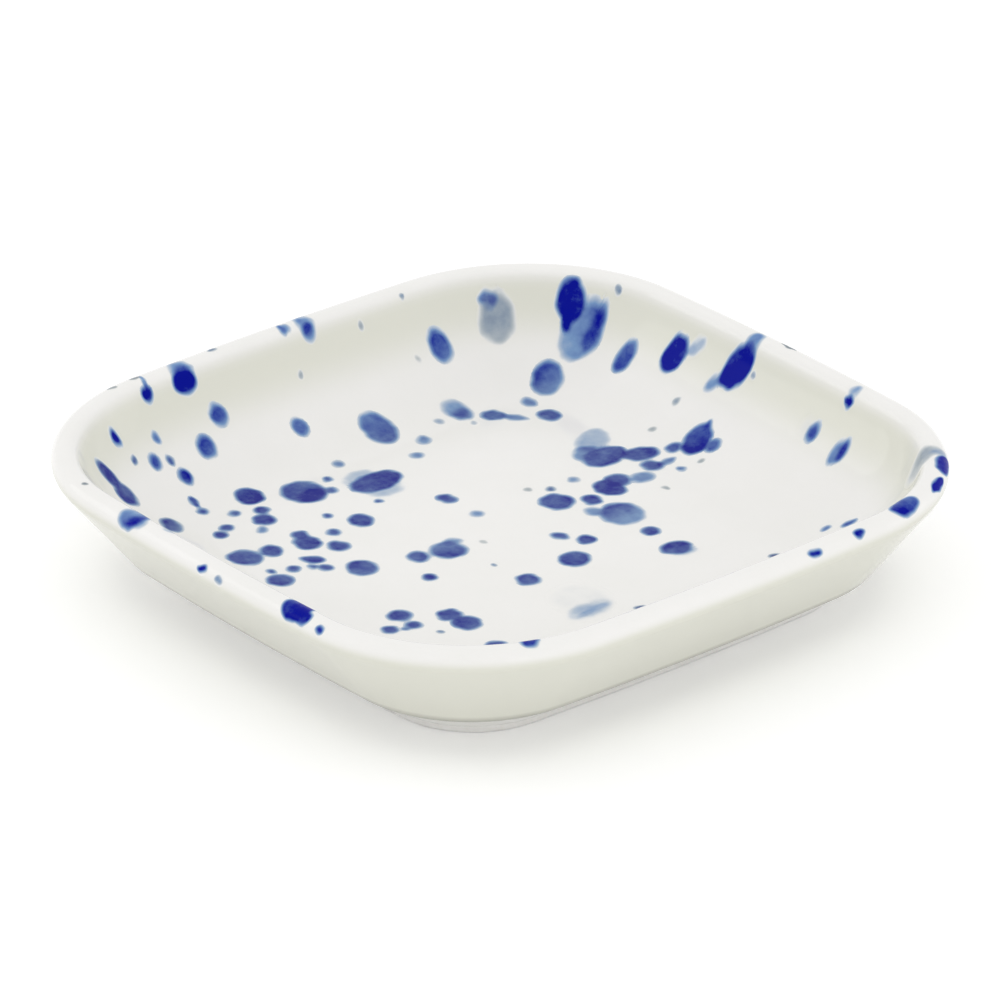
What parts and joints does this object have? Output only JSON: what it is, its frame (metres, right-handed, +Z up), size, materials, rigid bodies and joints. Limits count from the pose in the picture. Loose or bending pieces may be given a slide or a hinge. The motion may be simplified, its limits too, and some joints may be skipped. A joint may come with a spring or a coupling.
{
  "type": "soy sauce dish",
  "caption": "Square glazed stoneware dipping dish with rounded corners, a rolled lip, a coved well, a low foot ring and blue drops thrown on its pale glaze.",
  "frame": {"origin": "centre of the dish at the plane of the foot ring's rim, where it stands on the table", "axes": "+Z up out of the well, +X and +Y square to two neighbouring sides"},
  "size_m": [0.1, 0.1, 0.0191],
  "materials": {
    "bare_clay": "matt, fine-grained",
    "pale_glaze": "glossy",
    "cobalt_glaze": "glossy"
  },
  "bodies": {
    "root": {"clay_body": "bare_clay", "glaze_coat": "pale_glaze", "base_glaze": "pale_glaze", "blue_spatter": "cobalt_glaze"}
  },
  "joints": []
}
